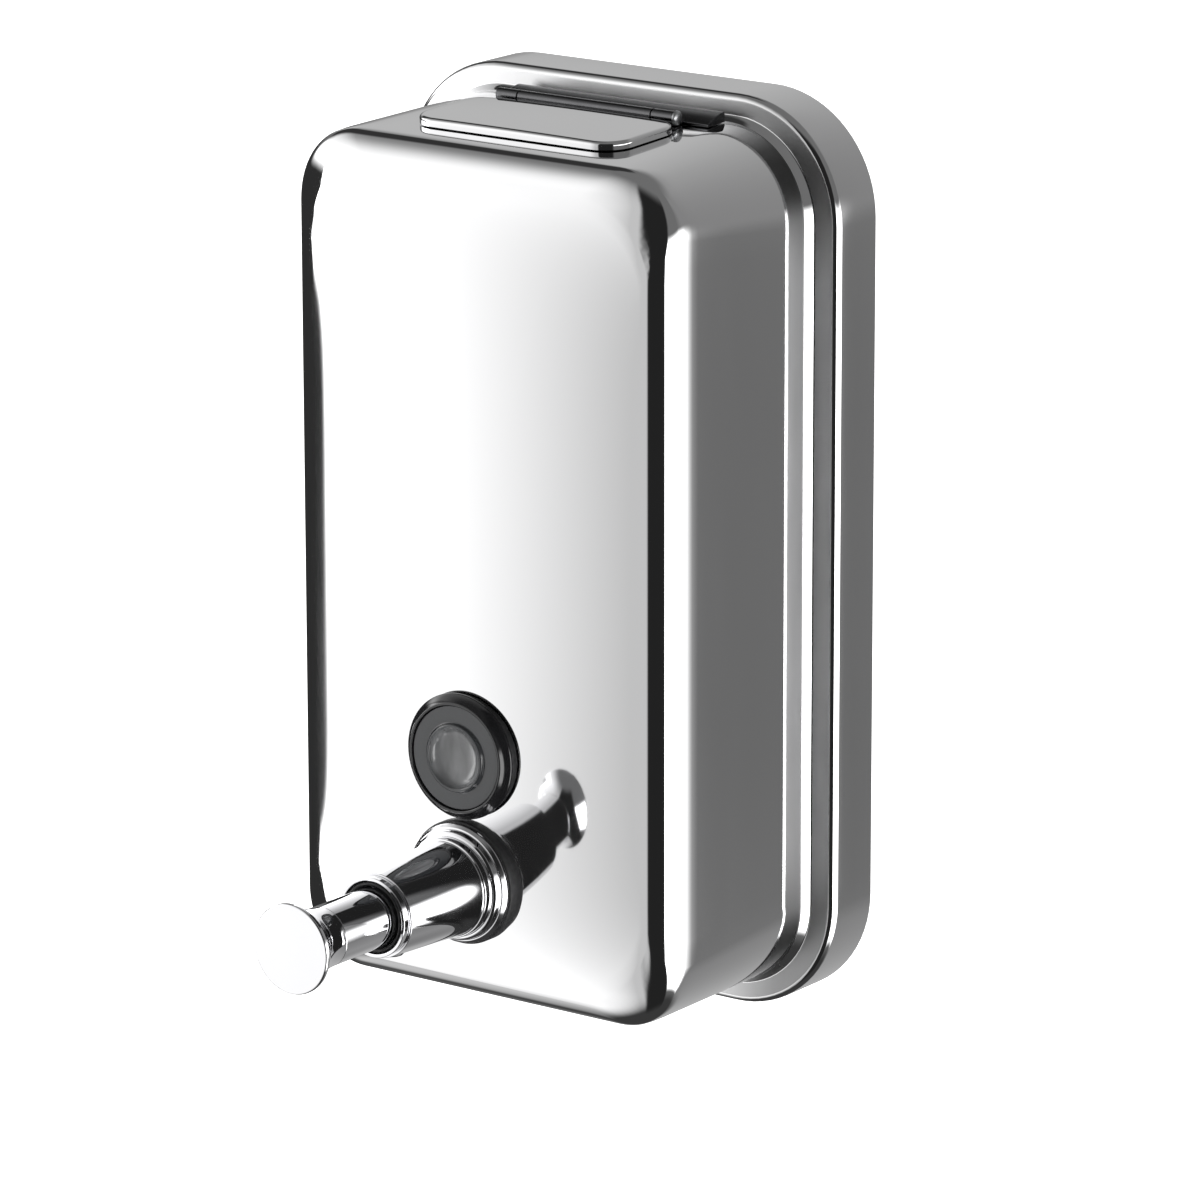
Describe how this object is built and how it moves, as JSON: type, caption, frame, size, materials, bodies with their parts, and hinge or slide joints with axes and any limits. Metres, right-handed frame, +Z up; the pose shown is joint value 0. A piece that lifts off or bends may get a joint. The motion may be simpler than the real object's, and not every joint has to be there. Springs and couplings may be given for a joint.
{
  "type": "wall mounted soap dispenser",
  "caption": "Wall mounted stainless steel soap dispenser with a crowned front, a hinged filler lid on top, a round sight glass and a spring-return push valve.",
  "frame": {"origin": "on the wall plane, at the middle of the wall bracket's back and of the back pan", "axes": "+Z up, -Y out of the front towards the user, +X to the user's right"},
  "size_m": [0.118, 0.133, 0.209],
  "materials": {
    "polished_steel": "mirror polished stainless steel",
    "plain_steel": "plain mill finish",
    "chrome": "bright chrome plate",
    "black_rubber": "matt",
    "black_plastic": "glossy",
    "smoked_plastic": "clear, smoked",
    "white_plastic": "moulded"
  },
  "bodies": {
    "tank": {"front_shell": "polished_steel", "back_pan": "polished_steel", "wall_bracket": "plain_steel", "hanger_strap": "plain_steel", "retaining_screw": "plain_steel", "filler_frame": "plain_steel", "hinge_bracket": "polished_steel", "hinge_pin": "plain_steel", "sight_gasket": "black_rubber", "sight_bezel": "black_plastic", "sight_lens": "smoked_plastic", "sight_seal": "black_rubber", "sight_washer": "white_plastic", "sight_nut": "black_plastic", "valve_gasket": "black_rubber", "valve_body": "chrome", "valve_inner_seal": "black_rubber", "valve_washer": "plain_steel", "valve_nut": "plain_steel", "outlet_nozzle": "black_plastic", "nose_bush": "chrome", "wiper_seal": "black_rubber", "pump_cylinder": "white_plastic", "return_spring": "plain_steel", "inlet_elbow": "white_plastic", "suction_tube": "white_plastic"},
    "plunger": {"push_button": "chrome", "plunger_sleeve": "chrome", "plunger_rod": "plain_steel", "piston": "white_plastic", "piston_ring": "black_rubber"},
    "lid": {"lid": "polished_steel", "lid_seal": "black_rubber"},
    "ball": {"check_ball": "plain_steel"}
  },
  "joints": [
    {"name": "plunger_slide", "type": "slide", "parent": "tank", "child": "plunger", "axis": [0, 1, 0], "range_m": [0, 0.012], "stiffness_N_per_m": 600, "springref_m": -0.008, "deforming": ["return_spring"]},
    {"name": "lid_hinge", "type": "hinge", "parent": "tank", "child": "lid", "pos_m": [0, -0.02608, 0.09919], "axis": [-1, 0, 0], "range_deg": [0, 120]},
    {"name": "check_ball_lift", "type": "slide", "parent": "tank", "child": "ball", "axis": [0, 0, 1], "range_m": [0, 0.005]}
  ]
}
